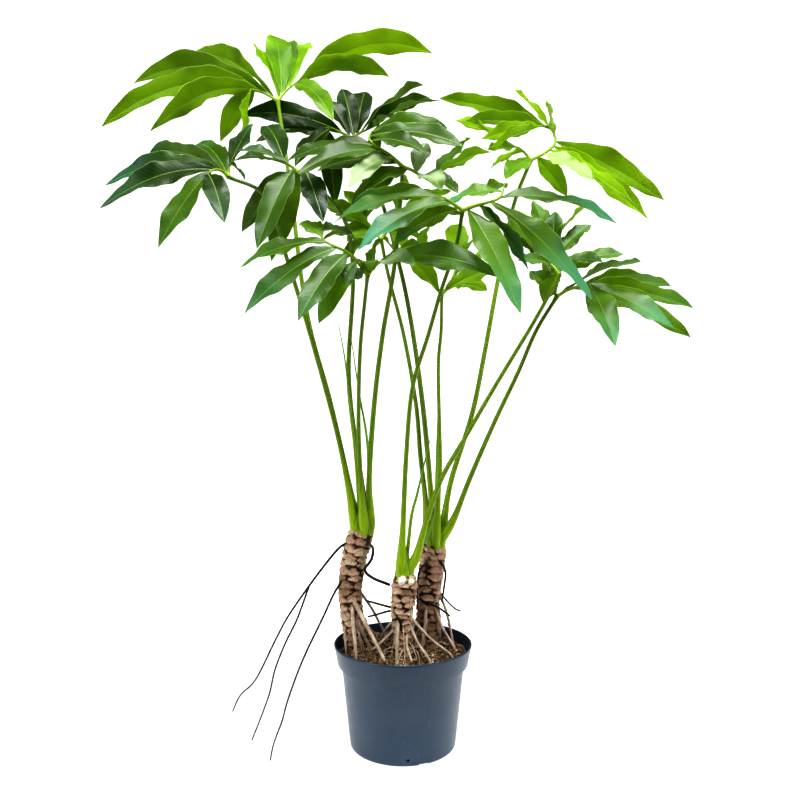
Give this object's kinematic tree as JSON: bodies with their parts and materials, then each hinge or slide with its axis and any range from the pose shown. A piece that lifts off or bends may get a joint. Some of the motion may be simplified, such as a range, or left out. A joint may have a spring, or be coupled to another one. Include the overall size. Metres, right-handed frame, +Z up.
{
  "type": "potted philodendron",
  "caption": "Tall house plant in a tapered grower's pot: scarred trunks with prop roots, long leaf stalks and fans of narrow drooping leaflets on curled arms.",
  "frame": {"origin": "centre of the pot's underside, on the floor", "axes": "+Z up along the pot's axis; -Y towards the viewer of the picture; +X to the viewer's right"},
  "size_m": [1.0755, 0.5507, 1.3554],
  "materials": {
    "pot": "satin",
    "soil": "rough",
    "trunk": "rough",
    "leaf": "satin",
    "spear": "satin"
  },
  "bodies": {
    "root": {"pot": "pot", "soil": "soil", "trunk_left": "trunk", "trunk_middle": "trunk", "trunk_right": "trunk", "spear_left_outer": "spear", "spear_left_inner": "spear", "spear_middle": "spear", "spear_right": "spear", "frond_top_left": "leaf", "frond_left": "leaf", "frond_inner_left": "leaf", "frond_centre": "leaf", "frond_rear": "leaf", "frond_top_right": "leaf", "frond_front": "leaf", "frond_middle_rear": "leaf", "frond_front_left": "leaf", "frond_low_centre": "leaf", "frond_right": "leaf", "frond_low_right": "leaf"}
  },
  "joints": []
}
